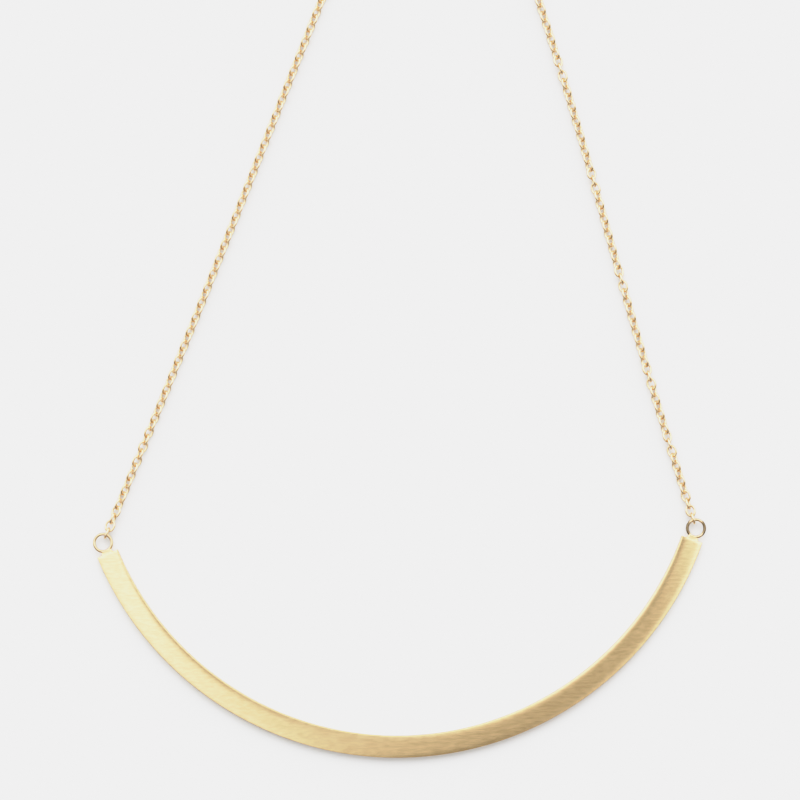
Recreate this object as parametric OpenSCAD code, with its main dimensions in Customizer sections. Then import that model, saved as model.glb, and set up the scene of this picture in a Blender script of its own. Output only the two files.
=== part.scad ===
// A bar-collar necklace, lying flat on its back as it does on a table.
// Z = 0 is the table. The origin is under the middle of the bar, the bar's centre of curvature
// lies on +Y, and the chains run on from the bar's two ends and close at the clasp.

/* [Bar] */
// Radius that the middle line of the bar is bent to
bar_r = 62.7; // [55:0.1:75]
// Angle that the bar spans, in degrees
bar_span = 137.7; // [125:0.1:145]
// Width of the bar
bar_w = 4.4; // [3:0.1:6]
// Thickness of the bar along its middle
bar_t = 1.3; // [1.25:0.05:1.5]
// How much lower the edges of the domed face are than its middle
bar_dome = 0.06; // [0.03:0.01:0.12]
// Width of the softened edges
bar_edge = 0.16; // [0.1:0.01:0.25]

/* [End rings] */
// Outer diameter of the round rings at the bar's ends
ring_od = 4.1; // [3.6:0.1:5]
// Wire of the end rings
ring_wire = 0.62; // [0.55:0.01:0.68]
// Distance from the bar's end to the ring, filled with solder
ring_gap = 0.27; // [0.1:0.01:0.4]
// How deep the ring sits below the middle of the bar's face
ring_sink = 0.05; // [0.03:0.01:0.08]
// Width of the solder at the ring and at the bar
solder_w = [1.3, 1.7]; // [1:0.1:2]

/* [Chain] */
// Outer length of a link
link_l = 2.62; // [2.6:0.01:2.7]
// Outer width of a link
link_w = 2.05; // [2.05:0.01:2.1]
// Wire of the links
link_wire = 0.46; // [0.4:0.01:0.46]
// Gap left between two links
play = 0.135; // [0.13:0.005:0.15]
// Gap left between a ring and the link that hangs in it
ring_play = 0.17; // [0.16:0.01:0.2]

/* [Route] */
// Direction in which the left chain leaves its end ring, in degrees from +X
left_heading = 66.7; // [64:0.1:70]
// Direction in which the right chain leaves its end ring, in degrees from +X
right_heading = 105.4; // [102:0.1:108]
// Radius of the loop's hidden back
back_r = 16.65; // [14:0.05:24]
// Sideways wander of the left chain: as one half wave, as one whole wave
left_sway = [-0.27, -0.12]; // [-0.5:0.01:0.5]
// Sideways wander of the right chain: as one half wave, as one whole wave
right_sway = [-0.3, 0.4]; // [-0.5:0.01:0.5]

/* [Clasp] */
// How far the clasp lies to the right of the loop's middle
clasp_shift = 0.35; // [0:0.05:1]
// Outer diameter of the spring ring
clasp_od = 5.5; // [5:0.1:7]
// Tube of the spring ring
clasp_wire = 0.8; // [0.7:0.01:0.82]
// Outer diameter of its eye
eye_od = 2.3; // [2.1:0.1:2.6]
// Wire of its eye
eye_wire = 0.5; // [0.45:0.01:0.55]
// Height of the clasp's middle plane, lifted by the links that pass under it
clasp_z = 0.99; // [0.98:0.01:1.01]
// Length of its thumb knob
knob_l = 0.9; // [0.5:0.1:1.2]

/* [Hidden] */

LEFT = -1;
RIGHT = 1;

// Where a chain twists as it lies: at which link, by how many degrees
LEFT_TWISTS = [[10, -50], [14, 50], [22.5, -28], [25.5, 28]];
RIGHT_TWISTS = [[10, 90], [19, 90], [32, 90], [45, 90], [60, 90]];
// A twist is spread over this many links each way
twist_reach = 5;
// A link that hangs in a ring turns this many of its neighbours with it
ring_reach = 7;
// Links lean this far from lying flat, to one side and the other in turn
lean = 45;
// Small uneven lean of single links
uneven = 2;
// Angle between the uneven leans of neighbours, so that they never repeat
uneven_step = 137.5;

face_drop_r = bar_w * bar_w / 8 / bar_dome;
bar_edge_t = bar_t - bar_dome;

ring_r = (ring_od - ring_wire) / 2;
ring_in = ring_od / 2 - ring_wire;
ring_z = bar_t - ring_sink - ring_wire / 2;
ring_step = ring_gap + ring_od / 2;

// Solder over the wire, above and below it, and into the ring's hole
solder_skin = 0.03;
solder_lap = 0.6;

link_r = (link_w - link_wire) / 2;
link_straight = link_l - link_w;
link_in = link_l - 2 * link_wire;
pitch = link_in - play;

// The two chain lines meet in a corner, and the back of the loop rounds it
apex = right_heading - left_heading;
base = 2 * ring_at(RIGHT)[0];
corner = back_r / tan(apex / 2);
back_l = back_r * (180 - apex) * PI / 180;

clasp_in = clasp_od / 2 - clasp_wire;
eye_in = eye_od / 2 - eye_wire;
eye_step = (clasp_od + eye_od - clasp_wire / 2 - eye_wire) / 2;

function degrees(a) = a * 180 / PI;
function dir(a) = [cos(a), sin(a)];
function heading(side) = side == LEFT ? left_heading : right_heading;
function opposite(side) = side == LEFT ? right_heading : left_heading;
function sway(side) = side == LEFT ? left_sway : right_sway;

// The middle of an end ring, straight on from the middle of the bar's end
function ring_at(side) = [
    side * (bar_r * sin(bar_span / 2) + ring_step * cos(bar_span / 2)),
    bar_r * (1 - cos(bar_span / 2)) + ring_step * sin(bar_span / 2)
];

// Length of a chain's straight run, from its end ring to the hidden back
function line_l(side) = base * sin(opposite(side)) / sin(apex) - corner;

function on_line(side, s) =
    ring_at(side) + s * dir(heading(side))
    + (sway(side)[0] * sin(180 * s / line_l(side)) + sway(side)[1] * sin(360 * s / line_l(side)))
    * dir(heading(side) + 90);

function on_back(side, s) =
    on_line(side, line_l(side)) + back_r * dir(heading(side) + side * 90)
    + back_r * dir(heading(side) - side * (90 - degrees((s - line_l(side)) / back_r)));

// A place on a chain's route, s from the middle of its end ring
function route(side, s) = s < line_l(side) ? on_line(side, s) : on_back(side, s);

function aim(from, to) = atan2(to[1] - from[1], to[0] - from[0]);
function route_aim(side, s) = aim(route(side, s - play), route(side, s + play));

// The middle of the clasp and of its eye, on the left chain's route
clasp_s = line_l(LEFT) + (back_l + eye_step) / 2 + clasp_shift;
eye_s = clasp_s - eye_step;

// From the middle of a ring to the middle of the link that hangs in it
function hook(hole_r) = hole_r - ring_play + link_in / 2;
function first_s() = hook(ring_in);
function last_s(side) =
    side == LEFT ? eye_s - hook(eye_in)
                 : line_l(RIGHT) + back_l - (clasp_s - line_l(LEFT)) - hook(clasp_in);
function gaps(side) = ceil((last_s(side) - first_s()) / pitch);
function link_s(side, i) = first_s() + (last_s(side) - first_s()) * i / gaps(side);

// Rises smoothly from 0 at x = -1 to 1 at x = 1
function ease(x) = let (t = min(max((x + 1) / 2, 0), 1)) t * t * (3 - 2 * t);

function twists(side) = side == LEFT ? LEFT_TWISTS : RIGHT_TWISTS;
function sum(list, k = 0) = k < len(list) ? list[k] + sum(list, k + 1) : 0;
function twist(side, i) = sum([for (t = twists(side)) t[1] * ease((i - t[0]) / twist_reach)]);
function free_roll(side, i) =
    lean * (i % 2 == 0 ? 1 : -1) + twist(side, i) + uneven * sin(uneven_step * i);

// The links that hang in a ring stand on edge, and their neighbours ease back from it
function stand(side, end, away) =
    (90 - lean) * sign(tan(free_roll(side, end))) * (1 - ease(2 * away / ring_reach - 1));
function roll(side, i) =
    free_roll(side, i) + stand(side, 0, i) + stand(side, gaps(side), gaps(side) - i);

// Height of a link's middle, with the steeper link of each pair just on the table
function link_z(roll) = link_wire / 2 + link_r * max(abs(sin(roll)), abs(cos(roll)));

module torus(r, wire) {
    rotate_extrude($fn = 96) translate([r, 0]) circle(d = wire, $fn = 32);
}

// Section of the bar, from its middle line: flat back, domed face and softened edges
module bar_section() {
    half = bar_w / 2;
    above = bar_edge_t + bar_edge;
    intersection() {
        polygon([
            [-half, bar_edge], [bar_edge - half, 0], [half - bar_edge, 0], [half, bar_edge],
            [half, bar_edge_t - bar_edge], [half - 2 * bar_edge, above],
            [2 * bar_edge - half, above], [-half, bar_edge_t - bar_edge]
        ]);
        translate([0, bar_t - face_drop_r]) circle(r = face_drop_r, $fn = 720);
    }
}

module bar() {
    translate([0, bar_r, 0]) rotate([0, 0, -90 - bar_span / 2])
        rotate_extrude(angle = bar_span, $fn = 720) translate([bar_r, 0]) bar_section();
}

// Solder from inside the bar's end to the ring's hole, drawn with the bar's end on X = 0
module solder() {
    bottom = ring_z - ring_wire / 2 - solder_skin;
    top = ring_z + ring_wire / 2 + solder_skin;
    reach = ring_gap + ring_wire + solder_lap;
    difference() {
        translate([0, 0, bottom]) linear_extrude(top - bottom)
            polygon([
                [-solder_lap, -solder_w[1] / 2], [reach, -solder_w[0] / 2],
                [reach, solder_w[0] / 2], [-solder_lap, solder_w[1] / 2]
            ]);
        translate([ring_step, 0, 0]) cylinder(r = ring_in - solder_skin, h = 2 * bar_t, $fn = 96);
    }
}

module end_ring(side) {
    translate([0, bar_r, 0]) rotate([0, 0, side * bar_span / 2]) translate([0, -bar_r, 0])
        mirror([(1 - side) / 2, 0, 0]) {
            solder();
            translate([ring_step, 0, ring_z]) torus(ring_r, ring_wire);
        }
}

module half_ring() {
    rotate([0, 0, -90]) rotate_extrude(angle = 180, $fn = 48)
        translate([link_r, 0]) circle(d = link_wire, $fn = 24);
}

// One oval link lying flat, its length along X
module link() {
    for (end = [0, 1]) mirror([end, 0, 0]) translate([link_straight / 2, 0, 0]) half_ring();
    for (flank = [-1, 1]) translate([-link_straight / 2, flank * link_r, 0])
        rotate([0, 90, 0]) cylinder(h = link_straight, d = link_wire, $fn = 24);
}

module chain(side) {
    for (i = [0 : gaps(side)]) {
        s = link_s(side, i);
        turn = roll(side, i);
        translate([route(side, s)[0], route(side, s)[1], link_z(turn)])
            rotate([turn, 0, route_aim(side, s)]) link();
    }
}

module collar_bar() {
    color([0.93, 0.87, 0.66]) {
        bar();
        for (side = [LEFT, RIGHT]) end_ring(side);
    }
}

module chain_left() {
    color([0.91, 0.78, 0.5]) chain(LEFT);
}

module chain_right() {
    color([0.91, 0.78, 0.5]) chain(RIGHT);
}

module clasp() {
    middle = route(LEFT, clasp_s);
    color([0.9, 0.76, 0.47])
        translate([middle[0], middle[1], clasp_z])
            rotate([0, 0, aim(middle, route(LEFT, eye_s))]) {
                torus((clasp_od - clasp_wire) / 2, clasp_wire);
                translate([eye_step, 0, 0]) torus((eye_od - eye_wire) / 2, eye_wire);
                translate([0, -clasp_in - clasp_wire / 2, 0]) rotate([90, 0, 0])
                    cylinder(d = eye_wire, h = clasp_wire / 2 + knob_l, $fn = 32);
            }
}

collar_bar();
chain_left();
chain_right();
clasp();
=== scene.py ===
from math import cos, pi, radians, sin

import bpy
import numpy as np
from mathutils import Matrix, Vector


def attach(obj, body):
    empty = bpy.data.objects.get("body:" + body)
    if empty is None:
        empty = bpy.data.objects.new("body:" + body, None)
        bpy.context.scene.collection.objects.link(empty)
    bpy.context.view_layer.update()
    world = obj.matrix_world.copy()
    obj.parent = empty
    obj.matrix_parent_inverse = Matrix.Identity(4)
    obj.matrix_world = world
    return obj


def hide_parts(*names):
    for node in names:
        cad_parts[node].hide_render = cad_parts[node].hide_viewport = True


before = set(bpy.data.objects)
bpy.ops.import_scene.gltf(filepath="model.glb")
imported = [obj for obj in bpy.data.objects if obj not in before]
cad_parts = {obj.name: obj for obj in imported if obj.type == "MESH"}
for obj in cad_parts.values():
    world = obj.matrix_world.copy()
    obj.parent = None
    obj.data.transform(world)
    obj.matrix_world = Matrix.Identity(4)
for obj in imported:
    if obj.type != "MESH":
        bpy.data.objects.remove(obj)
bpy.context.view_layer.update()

mm = 0.001  # sizes below are in millimetres, meshes are in metres
scene = bpy.context.scene


class Wire:  # an output socket that stands in Python expressions and adds Math nodes
    def __init__(self, shader, socket):
        self.shader = shader
        self.socket = socket

    def out(self, name):
        return Wire(self.shader, self.socket.node.outputs[name])

    def math(self, operation, first, second=0.0, third=0.0):
        return self.shader.node("ShaderNodeMath", {"operation": operation},
                                {0: first, 1: second, 2: third})

    def __add__(self, other): return self.math("ADD", self, other)
    def __radd__(self, other): return self.math("ADD", other, self)
    def __sub__(self, other): return self.math("SUBTRACT", self, other)
    def __rsub__(self, other): return self.math("SUBTRACT", other, self)
    def __mul__(self, other): return self.math("MULTIPLY", self, other)
    def __rmul__(self, other): return self.math("MULTIPLY", other, self)
    def __truediv__(self, other): return self.math("DIVIDE", self, other)

    def ease(self, start, end):  # 0 at start, 1 at end, smooth between
        return self.shader.node("ShaderNodeMapRange", {"interpolation_type": "SMOOTHSTEP"},
                                {"Value": self, "From Min": start, "From Max": end})

    def times(self, x, y, z):  # a vector, stretched along each axis
        return self.shader.node("ShaderNodeVectorMath", {"operation": "MULTIPLY"},
                                {0: self, 1: (x, y, z)})

    def dot(self, x, y, z):
        return self.shader.node("ShaderNodeVectorMath", {"operation": "DOT_PRODUCT"},
                                {0: self, 1: (x, y, z)}, output="Value")


class Shader:  # the node tree of a material or of the world
    def __init__(self, owner):
        owner.use_nodes = True
        self.tree = owner.node_tree
        self.tree.nodes.clear()

    def node(self, kind, settings={}, inputs={}, output=0):
        made = self.tree.nodes.new(kind)
        for name, value in settings.items():
            if name == "stops":
                self.setStops(made.color_ramp, value)
            else:
                setattr(made, name, value)
        for name, value in inputs.items():
            if isinstance(value, Wire):
                self.tree.links.new(value.socket, made.inputs[name])
            else:
                made.inputs[name].default_value = value
        return Wire(self, made.outputs[output]) if len(made.outputs) else None

    def setStops(self, ramp, stops):
        while len(ramp.elements) < len(stops):
            ramp.elements.new(1.0)
        for element, (position, colour) in zip(ramp.elements, stops):
            element.position = position
            element.color = (*colour, 1.0)

    def mixColour(self, factor, first, second):
        return self.node("ShaderNodeMix", {"data_type": "RGBA"},
                         {0: factor, 6: (*first, 1.0), 7: (*second, 1.0)}, output=2)


# Camera, straight above the photo's middle
camera = {
    "over": (0.76, 69.34),
    "height": 620.0,
    "roll": -1.4,
    "viewWidth": 160.24,
}


def placeCamera():
    data = bpy.data.cameras.new("camera")
    data.sensor_width = 36.0
    data.lens = data.sensor_width * camera["height"] / camera["viewWidth"]
    data.clip_start = 0.01
    data.clip_end = 200.0
    lens = bpy.data.objects.new("camera", data)
    lens.location = (camera["over"][0] * mm, camera["over"][1] * mm, camera["height"] * mm)
    lens.rotation_euler = (0.0, 0.0, radians(camera["roll"]))
    scene.collection.objects.link(lens)
    scene.camera = lens


# The studio is a pale tent, drawn on the sky by direction
studio = {                # what lights the paper
    "tent": 0.785,
    "backFrom": (0.0, 0.98, 0.2),
    "backRadiance": 7.27,
    "backCosine": (0.414, 0.998),
}
mirrored = {              # what the metal shows of the studio
    "ceiling": ((-0.3, 1.02), (-0.1, 1.05), (-0.065, 1.0), (-0.045, 0.64), (-0.03, 0.4),
                (0.01, 0.28), (0.04, 0.18), (0.07, 0.145), (0.09, 0.34), (0.12, 0.4),
                (0.17, 0.6), (0.24, 1.08), (0.3, 1.15)),
    "ceilingLight": 2.0,
    "ceilingFrom": (0.85, 0.95),  # how high up the sky the ceiling begins
    "ceilingGain": (0.5, 1.5),    # it is brighter towards the back
    "gainFrom": (-0.25, 0.1),
    "softbox": 2.7,               # radiance of the boxes behind and beside
    "softboxFrom": (0.15, 0.42),
    "low": 0.66,
    "front": 0.24,
    "backFrom": (-0.45, 0.0),
    # brightness of the paper's painted glow, as the metal mirrors it
    "paper": 1.05,
    "flattest": 0.05,             # slopes are measured no nearer the horizon than this
}


def lightStudio():
    world = bpy.data.worlds.new("studio")
    scene.world = world
    sky = Shader(world)
    towards = sky.node("ShaderNodeTexCoord", output="Generated")
    axes = sky.node("ShaderNodeSeparateXYZ", inputs={0: towards})
    x, y, z = axes, axes.out("Y"), axes.out("Z")
    steep = z.math("MAXIMUM", z, mirrored["flattest"])
    back = towards.dot(*Vector(studio["backFrom"]).normalized()).ease(*studio["backCosine"])
    paperLight = studio["tent"] + studio["backRadiance"] * back
    reach = mirrored["ceiling"][-1][0]
    aside = x / steep   # slope to the side
    ceiling = sky.node("ShaderNodeValToRGB", {"stops": [
        ((slope / reach + 1) / 2, (share,) * 3) for slope, share in mirrored["ceiling"]]},
        {0: (aside / reach + 1.0) / 2.0})
    above = z.ease(*mirrored["ceilingFrom"])
    ahead = y / steep   # slope to the back
    dimmest, brightest = mirrored["ceilingGain"]
    ceiling = ceiling * (dimmest + (brightest - dimmest) * ahead.ease(*mirrored["gainFrom"]))
    low, front = mirrored["low"], mirrored["front"]
    boxes = low + (mirrored["softbox"] - low) * z.ease(*mirrored["softboxFrom"])
    walls = front + (boxes - front) * y.ease(*mirrored["backFrom"])
    goldLight = walls + above * (mirrored["ceilingLight"] * ceiling - walls)
    isMirror = sky.node("ShaderNodeLightPath", output="Is Glossy Ray")
    radiance = paperLight + isMirror * (goldLight - paperLight)
    glow = sky.node("ShaderNodeBackground", inputs={"Color": (1, 1, 1, 1), "Strength": radiance})
    sky.node("ShaderNodeOutputWorld", inputs={"Surface": glow})


# The film's soft shoulder: paper white stays just under full white
film = {
    "whiteAt": 2.0,
    "points": [(0.0, 0.0), (0.35, 0.61), (0.4, 0.68), (0.55, 0.79), (0.65, 0.835),
               (0.85, 0.869), (1.0, 0.871)],
}


def setFilm():
    view = scene.view_settings
    view.view_transform = "Standard"
    view.use_curve_mapping = True
    mapping = view.curve_mapping
    mapping.white_level = (film["whiteAt"],) * 3
    curve = mapping.curves[3]
    first, *middle, last = film["points"]
    curve.points[0].location = first
    curve.points[-1].location = last
    for point in middle:
        curve.points.new(*point)
    mapping.update()


# Finishes
brushed = {
    "tones": ((0.87, 0.605, 0.305), (0.985, 0.692, 0.356)),
    "roughness": (0.2, 0.22),
    "anisotropic": 0.9,
    "turn": 0.25,
    "lines": (450.0, 4200.0, 4200.0),      # per metre along and across the chord, and up
    "bands": (700.0, 2200.0, 2200.0),
    "patches": (85.0, 85.0, 85.0),
    "lineDepth": 0.0006,
    "bandDepth": 0.0003,
    "patchDepth": 0.0015,
    "bandShare": 0.6,                      # of the tone, the lines give the rest
}
polished = {
    "tones": ((0.92, 0.66, 0.385), (0.97, 0.71, 0.425)),
    "roughness": (0.06, 0.15),
    "scuffs": 900.0,
    "scuffDepth": 0.004,
}


def brushedGold():
    material = bpy.data.materials.new("brushed_gold")
    gold = Shader(material)
    place = gold.node("ShaderNodeTexCoord", output="Object")

    def grain(stretch, detail):
        return gold.node("ShaderNodeTexNoise", inputs={
            "Vector": place.times(*stretch), "Scale": 1.0, "Detail": detail}, output="Fac")

    lines = grain(brushed["lines"], 2.0)
    bands = grain(brushed["bands"], 2.0)
    patches = grain(brushed["patches"], 1.0)
    low, high = brushed["roughness"]
    share = brushed["bandShare"]
    height = (lines * brushed["lineDepth"] + bands * brushed["bandDepth"]
              + patches * brushed["patchDepth"])
    relief = gold.node("ShaderNodeBump", inputs={
        "Height": height, "Strength": 1.0, "Distance": mm}, output="Normal")
    metal = gold.node("ShaderNodeBsdfPrincipled", inputs={
        "Base Color": gold.mixColour((bands * share + lines * (1 - share)).ease(0.35, 0.65),
                                     *brushed["tones"]),
        "Metallic": 1.0,
        "Roughness": low + (high - low) * lines.ease(0.3, 0.7),
        "Anisotropic": brushed["anisotropic"],
        "Anisotropic Rotation": brushed["turn"],
        "Normal": relief})
    gold.node("ShaderNodeOutputMaterial", inputs={"Surface": metal})
    return material


def polishedGold(name, shade=None, middle=None):
    material = bpy.data.materials.new(name)
    gold = Shader(material)
    place = gold.node("ShaderNodeTexCoord", output="Object")
    scuffs = gold.node("ShaderNodeTexNoise", inputs={
        "Vector": place, "Scale": polished["scuffs"], "Detail": 3.0}, output="Fac")
    low, high = polished["roughness"]
    relief = gold.node("ShaderNodeBump", inputs={
        "Height": scuffs * polished["scuffDepth"], "Strength": 1.0, "Distance": mm},
        output="Normal")
    tone = gold.mixColour(scuffs.ease(0.35, 0.65), *polished["tones"])
    if shade:  # a ring toned darker, with painted shade that darkens its left and right flanks
        radius = (endRing["outer"] - endRing["wire"]) / 2
        aside = place.dot(1 / (radius * mm), 0.0, 0.0) - middle[0] / radius
        top, flank = shade
        toneAndPaintedShade = top + (flank - top) * aside.math("ABSOLUTE", aside).ease(*endRing["flank"])
        tone = gold.node("ShaderNodeVectorMath", {"operation": "SCALE"},
                         {0: tone, "Scale": toneAndPaintedShade})
    metal = gold.node("ShaderNodeBsdfPrincipled", inputs={
        "Base Color": tone,
        "Metallic": 1.0,
        "Roughness": low + (high - low) * scuffs.ease(0.3, 0.75),
        "Normal": relief})
    gold.node("ShaderNodeOutputMaterial", inputs={"Surface": metal})
    return material


sheetOfPaper = {
    "white": 0.93,
    "roughness": 0.95,
    "fibres": 2500.0,
    "fibreDepth": 0.01,
}


def paper():
    material = bpy.data.materials.new("paper")
    sheet = Shader(material)
    place = sheet.node("ShaderNodeTexCoord", output="Object")
    fibres = sheet.node("ShaderNodeTexNoise", inputs={
        "Vector": place, "Scale": sheetOfPaper["fibres"], "Detail": 2.0}, output="Fac")
    relief = sheet.node("ShaderNodeBump", inputs={
        "Height": fibres * sheetOfPaper["fibreDepth"], "Strength": 1.0, "Distance": mm},
        output="Normal")
    white = (sheetOfPaper["white"],) * 3
    matte = sheet.node("ShaderNodeBsdfPrincipled", inputs={
        "Base Color": (*white, 1.0), "Roughness": sheetOfPaper["roughness"], "Normal": relief})
    # painted reflection: in the metal the paper shows as a plain glow of fixed brightness,
    # dimmer than the lit paper
    dim = sheet.node("ShaderNodeEmission", inputs={
        "Color": (1, 1, 1, 1), "Strength": mirrored["paper"]})
    isMirror = sheet.node("ShaderNodeLightPath", output="Is Glossy Ray")
    both = sheet.node("ShaderNodeMixShader", inputs={0: isMirror, 1: matte, 2: dim})
    sheet.node("ShaderNodeOutputMaterial", inputs={"Surface": both})
    return material


def makePiece(name, points, faces, material):
    mesh = bpy.data.meshes.new(name)
    mesh.from_pydata((np.asarray(points) * mm).tolist(), [], faces)
    mesh.materials.append(material)
    mesh.shade_smooth()
    piece = bpy.data.objects.new(name, mesh)
    scene.collection.objects.link(piece)
    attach(piece, "root")
    return piece


def tubeFaces(rings, around, closed=False, first=0):
    # quads between each ring of points and the next one, facing outwards
    return [(first + k * around + j,
             first + (k + 1) % rings * around + j,
             first + (k + 1) % rings * around + (j + 1) % around,
             first + k * around + (j + 1) % around)
            for k in range(rings if closed else rings - 1) for j in range(around)]


def ringPoints(middle, radius, wire, steps, around):
    # a round wire ring lying flat
    turn = np.linspace(0, 2 * pi, steps, endpoint=False)[:, None]
    roll = np.linspace(0, 2 * pi, around, endpoint=False)[None, :]
    reach = radius + wire / 2 * np.cos(roll)
    return np.stack([middle[0] + reach * np.cos(turn), middle[1] + reach * np.sin(turn),
                     middle[2] + wire / 2 * np.sin(roll) + 0 * turn], axis=-1).reshape(-1, 3)


# The bar: an arc of flat strip with a low dome, rounded edges and a flat back
bar = {
    "radius": 62.7,
    "span": 137.7,
    "width": 4.4,
    "thick": 1.3,
    "inner": (0.072, 4),   # how far the buffed face falls to each edge, mostly near it
    "outer": (0.06, 5),
    "edge": 0.16,          # radius of the back's edges
    "innerEdge": 0.18,
    "outerEdge": 0.13,
    "endEdge": 0.112,
    "endLean": {"left": 0.06, "right": 0.042},   # the face leans outwards at the ends
    "endRise": {"left": 0.023, "right": 0.0},    # and falls less to its inner edge
    "endFrom": 45.0,       # degrees from the middle
    "steps": 320,
    "faceSteps": 23,
    "cornerSteps": 8,
    "endSteps": 7,
    "near": 0.02,          # keeps the shading of the flat sides flat
}


def barFace(q):  # height and lean of the face, q outwards from its middle line
    drop, power = bar["outer" if q > 0 else "inner"]
    half = bar["width"] / 2
    share = abs(q) / half
    lean = power * drop / half * share ** (power - 1)
    return bar["thick"] - drop * share ** power, lean if q > 0 else -lean


def barSection():
    # points and outward directions round the section, as (outward, up) pairs
    half = bar["width"] / 2
    near = bar["near"]
    rows = []

    def corner(side, level, radius, start, end):
        for angle in np.linspace(start, end, bar["cornerSteps"]):
            out = np.array([cos(angle), sin(angle)])
            rows.append((np.array([side * (half - radius), level]) + radius * out, out))

    def support(at, out):
        rows.append((np.array(at), np.array(out, dtype=float)))

    def shoulder(side, radius):
        return barFace(side * (half - radius))[0] - radius

    inner, outer, low = bar["innerEdge"], bar["outerEdge"], bar["edge"]
    corner(1, shoulder(1, outer), outer, 0, pi / 2 - barFace(half - outer)[1])
    outerReach = rows[-1][0][0]
    innerReach = half - inner + inner * sin(barFace(inner - half)[1])
    for share in [0.985, *np.linspace(0.94, -0.94, bar["faceSteps"]), -0.985]:
        q = share * (outerReach if share > 0 else innerReach)
        height, lean = barFace(q)
        support((q, height), (sin(lean), cos(lean)))
    corner(-1, shoulder(-1, inner), inner, pi / 2 - barFace(inner - half)[1], pi)
    support((-half, shoulder(-1, inner) - near), (-1, 0))
    support((-half, low + near), (-1, 0))
    corner(-1, low, low, pi, 1.5 * pi)
    for q in (near + low - half, 0, half - low - near):
        support((q, 0), (0, -1))
    corner(1, low, low, 1.5 * pi, 2 * pi)
    support((half, low + near), (1, 0))
    support((half, shoulder(1, outer) - near), (1, 0))
    return np.array([row[0] for row in rows]), np.array([row[1] for row in rows])


def makeBar():
    section, outward = barSection()
    around = len(section)
    length = radians(bar["span"]) * bar["radius"]
    edge = bar["endEdge"]
    places = [(edge * (1 - sin(b)), edge * (1 - cos(b)))
              for b in np.linspace(pi / 2, 0, bar["endSteps"])]
    stations = places + [(at, 0.0) for at in
                         np.linspace(edge, length - edge, bar["steps"])[1:-1]]
    stations += [(length - at, inset) for at, inset in reversed(places)]
    points = []
    for at, inset in stations:
        turn = at / bar["radius"] - radians(bar["span"]) / 2
        share = max(0.0, (abs(turn) - radians(bar["endFrom"]))
                    / radians(bar["span"] / 2 - bar["endFrom"]))
        end = "right" if turn > 0 else "left"
        lean = bar["endLean"][end] * share ** 2
        rise = bar["endRise"][end] * share ** 0.5
        for q, z in section - inset * outward:
            reach = bar["radius"] + q
            inwards = max(0.0, -2 * q / bar["width"])
            z += (rise * inwards ** bar["inner"][1] - lean * q) * z / bar["thick"]
            points.append((reach * sin(turn), bar["radius"] - reach * cos(turn), z))
    faces = tubeFaces(len(stations), around)
    faces.append(tuple(range(around)))
    faces.append(tuple(reversed(range(len(points) - around, len(points)))))
    piece = makePiece("bar", points, faces, goldBrushed)
    piece.data.use_auto_texspace = False  # brushed straight along the chord, like the real bar
    piece.data.texspace_location = (0.0, -100.0, 0.0)
    piece.data.texspace_size = (1.0, 1.0, 1.0)
    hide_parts("collar_bar")


# A plain round ring at each end of the bar, and the solder that holds it
endRing = {
    "outer": 4.1,
    "wire": 0.62,
    "gap": 0.27,
    "level": 0.94,
    "shade": {"left": (0.78, 0.72), "right": (0.88, 0.2)},   # tone at the top, and with painted shade on the flanks
    "flank": (0.57, 0.88),   # where the painted shade on the flanks begins, as shares of the radius
    "steps": 96,
    "around": 24,
}
solder = {
    "from": -0.3,
    "to": 0.72,
    "halfWidth": (1.5, 1.05, 0.95),   # at the bar, between, at the ring
    "halfHeight": (0.335, 0.31, 0.33),
    "square": 5.0,                    # 2 would be round
    "steps": 13,
    "around": 24,
}


def endPlace(side, along, across, level):
    # a place measured from the middle of the bar's end, outwards along it
    turn = radians(bar["span"]) / 2
    x = bar["radius"] * sin(turn) + along * cos(turn) - across * sin(turn)
    y = bar["radius"] * (1 - cos(turn)) + along * sin(turn) + across * cos(turn)
    return (side * x, y, level)


def makeEndRings():
    for side, name in ((-1, "left"), (1, "right")):
        middle = endPlace(side, endRing["gap"] + endRing["outer"] / 2, 0, endRing["level"])
        steps, around = endRing["steps"], endRing["around"]
        ring = ringPoints(middle, (endRing["outer"] - endRing["wire"]) / 2, endRing["wire"],
                          steps, around)
        gold = polishedGold("ring_gold_" + name, endRing["shade"][name], middle)
        makePiece("end_ring_" + name, ring, tubeFaces(steps, around, closed=True), gold)


def makeSolder():
    points, faces = [], []
    around = solder["around"]
    power = 2 / solder["square"]
    for side, name in ((-1, "left"), (1, "right")):
        first = len(points)
        for share in np.linspace(0, 1, solder["steps"]):
            along = solder["from"] + share * (solder["to"] - solder["from"])
            bend = [(1 - share) ** 2, 2 * share * (1 - share), share ** 2]
            wide = np.dot(bend, solder["halfWidth"])
            high = np.dot(bend, solder["halfHeight"])
            for turn in np.linspace(0, 2 * pi, around, endpoint=False):
                c, s = cos(turn), sin(turn)
                q = side * wide * np.sign(c) * abs(c) ** power
                level = endRing["level"] + high * np.sign(s) * abs(s) ** power
                level -= bar["endLean"][name] * q * level / bar["thick"]  # leans with the bar
                points.append(endPlace(side, along, -q, level))
        faces += tubeFaces(solder["steps"], around, first=first)
        faces.append(tuple(range(first, first + around)))
        faces.append(tuple(reversed(range(len(points) - around, len(points)))))
    makePiece("solder", points, faces, goldBrushed)


# The chain: every link is drawn afresh where the CAD chain has one
link = {
    "length": 2.58,    # rounder and thicker than the CAD links, so that they all but touch
    "width": 2.11,
    "square": 2.2,     # 2 would be an ellipse
    "wire": 0.475,
    "lift": 0.031,
    "settle": 1.0,     # how strongly the links roll over to 45 degrees between the twists
    "around": 14,
    "bendSteps": 10,
    # thickness of the wire round its soldered joint, by the angle from it
    "seam": ((-0.08, 1.0), (-0.03, 0.985), (0.0, 0.93), (0.03, 0.985), (0.08, 1.0)),
}


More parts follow.
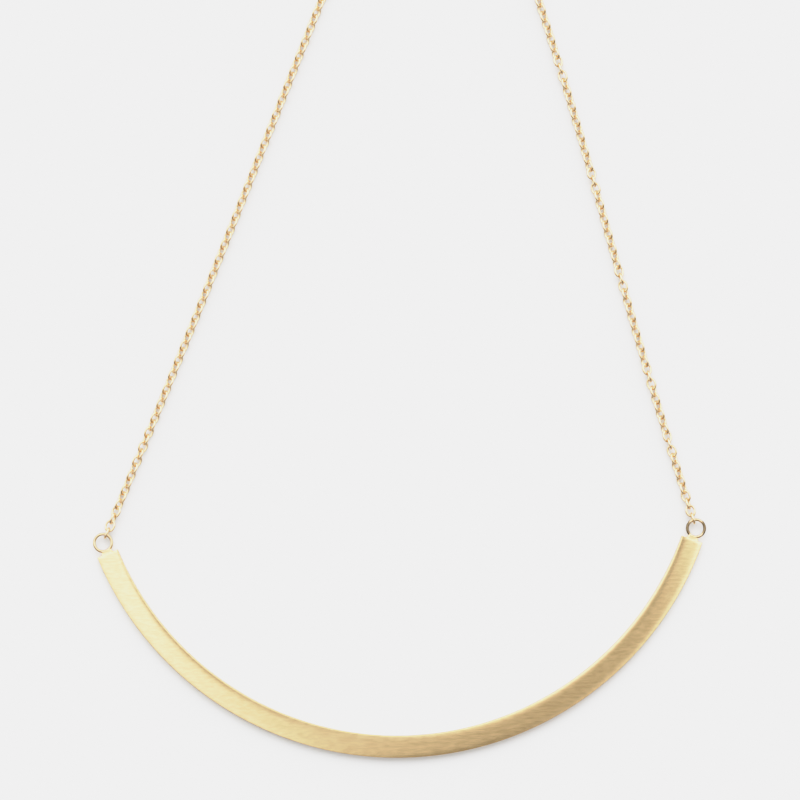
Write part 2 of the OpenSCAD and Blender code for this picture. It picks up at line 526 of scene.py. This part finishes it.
def linkPath():
    # one link lying flat, its length along X and its soldered joint on the +Y side:
    # places, outward directions and thickness along the wire
    steps = 4 * link["bendSteps"]
    turns = list(np.linspace(0, 2 * pi, steps, endpoint=False))
    turns += [pi / 2 + along for along, _ in link["seam"] if along]
    turns = np.sort(turns)
    long = (link["length"] - link["wire"]) / 2
    wide = (link["width"] - link["wire"]) / 2
    power = 2 / link["square"]
    c, s = np.cos(turns), np.sin(turns)
    places = np.stack([long * np.sign(c) * abs(c) ** power,
                       wide * np.sign(s) * abs(s) ** power], axis=1)
    ahead = np.roll(places, -1, axis=0) - np.roll(places, 1, axis=0)
    out = np.stack([ahead[:, 1], -ahead[:, 0]], axis=1)
    out /= np.linalg.norm(out, axis=1)[:, None]
    thick = np.interp(turns - pi / 2, *zip(*link["seam"]))
    return places, out, thick


def linkPoints():
    points = []
    path = list(zip(*linkPath()))
    for place, out, thick in path:
        for roll in np.linspace(0, 2 * pi, link["around"], endpoint=False):
            side = thick * link["wire"] / 2
            points.append((*(place + side * cos(roll) * out), side * sin(roll)))
    return np.array(points), tubeFaces(len(path), link["around"], closed=True)


def linkPlaces(node):
    # the middle and the axes of each loose solid in a chain's node
    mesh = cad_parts[node].data
    spots = np.empty(len(mesh.vertices) * 3)
    mesh.vertices.foreach_get("co", spots)
    spots = spots.reshape(-1, 3) / mm
    ends = np.empty(len(mesh.edges) * 2, dtype=np.int64)
    mesh.edges.foreach_get("vertices", ends)
    _, welded = np.unique(np.round(spots, 3), axis=0, return_inverse=True)
    welded = welded.reshape(-1)
    a, b = welded[ends.reshape(-1, 2)].T
    group = np.arange(welded.max() + 1)
    while True:
        lower = np.minimum(group[a], group[b])
        merged = group.copy()
        np.minimum.at(merged, a, lower)
        np.minimum.at(merged, b, lower)
        merged = merged[merged]
        if (merged == group).all():
            break
        group = merged
    solids = group[welded]
    places = []
    for solid in np.unique(solids):
        cloud = spots[solids == solid]
        middle = cloud.mean(axis=0)
        _, axes = np.linalg.eigh(np.cov((cloud - middle).T))
        axes = axes.T[::-1]  # length, width, thickness
        axes[0] *= np.sign(axes[0][1])
        axes[2] = np.cross(axes[0], axes[1])
        inside = (cloud - middle) @ axes.T
        lowest, highest = inside.min(axis=0), inside.max(axis=0)
        middle = middle + (lowest + highest) / 2 @ axes
        places.append((middle, axes))
    return places


def settled(middle, axes):
    # a free chain lies with its links at 45 degrees, and a twist in it takes few links
    aside = np.cross((0, 0, 1), axes[0])
    aside /= np.linalg.norm(aside)
    up = np.cross(axes[0], aside)
    roll = np.arctan2(axes[2] @ aside, axes[2] @ up)
    roll = (roll + pi / 2) % pi - pi / 2
    off = (abs(roll) - pi / 4) / (pi / 4)
    turned = np.sign(roll) * pi / 4 * (1 + off * abs(off) ** link["settle"])
    bend = (link["width"] - link["wire"]) / 2
    drop = bend * (max(abs(sin(roll)), abs(cos(roll))) - max(abs(sin(turned)), abs(cos(turned))))
    normal = cos(turned) * up + sin(turned) * aside
    return (middle + (0, 0, link["lift"] - drop),
            np.array([axes[0], np.cross(normal, axes[0]), normal]))


def makeChain(side):
    node = "chain_" + side
    shape, shapeFaces = linkPoints()
    places = sorted(linkPlaces(node), key=lambda place: place[0][1])
    points, faces = [], []
    for count, (middle, axes) in enumerate(places):
        middle, axes = settled(middle, axes)
        flip = -1 if count % 3 == 1 else 1  # the joints don't all face the same way
        turned = shape * (flip, flip, 1)
        faces += [tuple(len(points) + v for v in face) for face in shapeFaces]
        points += (middle + turned @ axes).tolist()
    print(node, len(places), "links")
    piece = makePiece(node + "_links", points, faces, goldPolished)
    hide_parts(node)


# The clasp: a spring ring with its bolt, thumb knob, eye and collar
clasp = {
    "middle": (12.780, 176.448, 0.99),
    "aim": 174.85,                # from the ring to its eye
    "outer": 5.5,
    "tube": 0.8,
    "boltTube": 0.66,
    "opening": (-70.0, -25.0),    # degrees, where the bolt shows
    "stepTurn": 0.6,              # half the turn in which the tube steps down to the bolt
    "eyeOuter": 2.3,
    "eyeWire": 0.5,
    "eyeStep": 3.45,
    "steps": 120,
    "around": 24,
    "eyeSteps": 64,
    "eyeAround": 20,
    # the knob's radius by the distance from the ring's middle
    "knob": ((1.95, 0.16), (2.95, 0.16), (3.0, 0.2), (3.1, 0.245), (3.25, 0.25), (3.45, 0.24),
             (3.58, 0.19), (3.64, 0.1), (3.65, 0.02)),
}


def makeClasp():
    points, faces = [], []
    around = clasp["around"]
    radius = (clasp["outer"] - clasp["tube"]) / 2
    low, high = clasp["opening"]
    step = clasp["stepTurn"]
    turns = sorted([*np.linspace(-180, 180, clasp["steps"], endpoint=False),
                    low - step, low + step, high - step, high + step])
    for turn in turns:
        tube = clasp["boltTube"] if low < turn < high else clasp["tube"]
        for roll in np.linspace(0, 2 * pi, around, endpoint=False):
            reach = radius + tube / 2 * cos(roll)
            points.append((reach * cos(radians(turn)), reach * sin(radians(turn)),
                           tube / 2 * sin(roll)))
    faces += tubeFaces(len(turns), around, closed=True)
    eye = ringPoints((clasp["eyeStep"], 0, 0), (clasp["eyeOuter"] - clasp["eyeWire"]) / 2,
                     clasp["eyeWire"], clasp["eyeSteps"], clasp["eyeAround"])
    faces += tubeFaces(clasp["eyeSteps"], clasp["eyeAround"], closed=True, first=len(points))
    points += eye.tolist()
    first = len(points)
    for reach, thick in clasp["knob"]:
        for roll in np.linspace(0, 2 * pi, around, endpoint=False):
            points.append((thick * sin(roll), -reach, thick * cos(roll)))
    faces += tubeFaces(len(clasp["knob"]), around, first=first)
    faces.append(tuple(range(first, first + around)))
    faces.append(tuple(reversed(range(len(points) - around, len(points)))))
    turn = Matrix.Rotation(radians(clasp["aim"]), 3, "Z")
    placed = np.array(points) @ np.array(turn.transposed()) + clasp["middle"]
    piece = makePiece("spring_ring", placed, faces, goldPolished)
    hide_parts("clasp")


def layFloor():
    reach = 30.0
    mesh = bpy.data.meshes.new("floor")
    mesh.from_pydata([(-reach, -reach, 0), (reach, -reach, 0), (reach, reach, 0),
                      (-reach, reach, 0)], [], [(0, 1, 2, 3)])
    mesh.materials.append(paper())
    floor = bpy.data.objects.new("floor", mesh)
    floor.location.z = -0.01 * mm
    scene.collection.objects.link(floor)


placeCamera()
lightStudio()
setFilm()
print("camera, studio and film set")
goldBrushed = brushedGold()
goldPolished = polishedGold("polished_gold")
layFloor()
makeBar()
makeEndRings()
makeSolder()
print("bar, end rings and solder made")
makeChain("left")
makeChain("right")
makeClasp()
print("chains and clasp made")
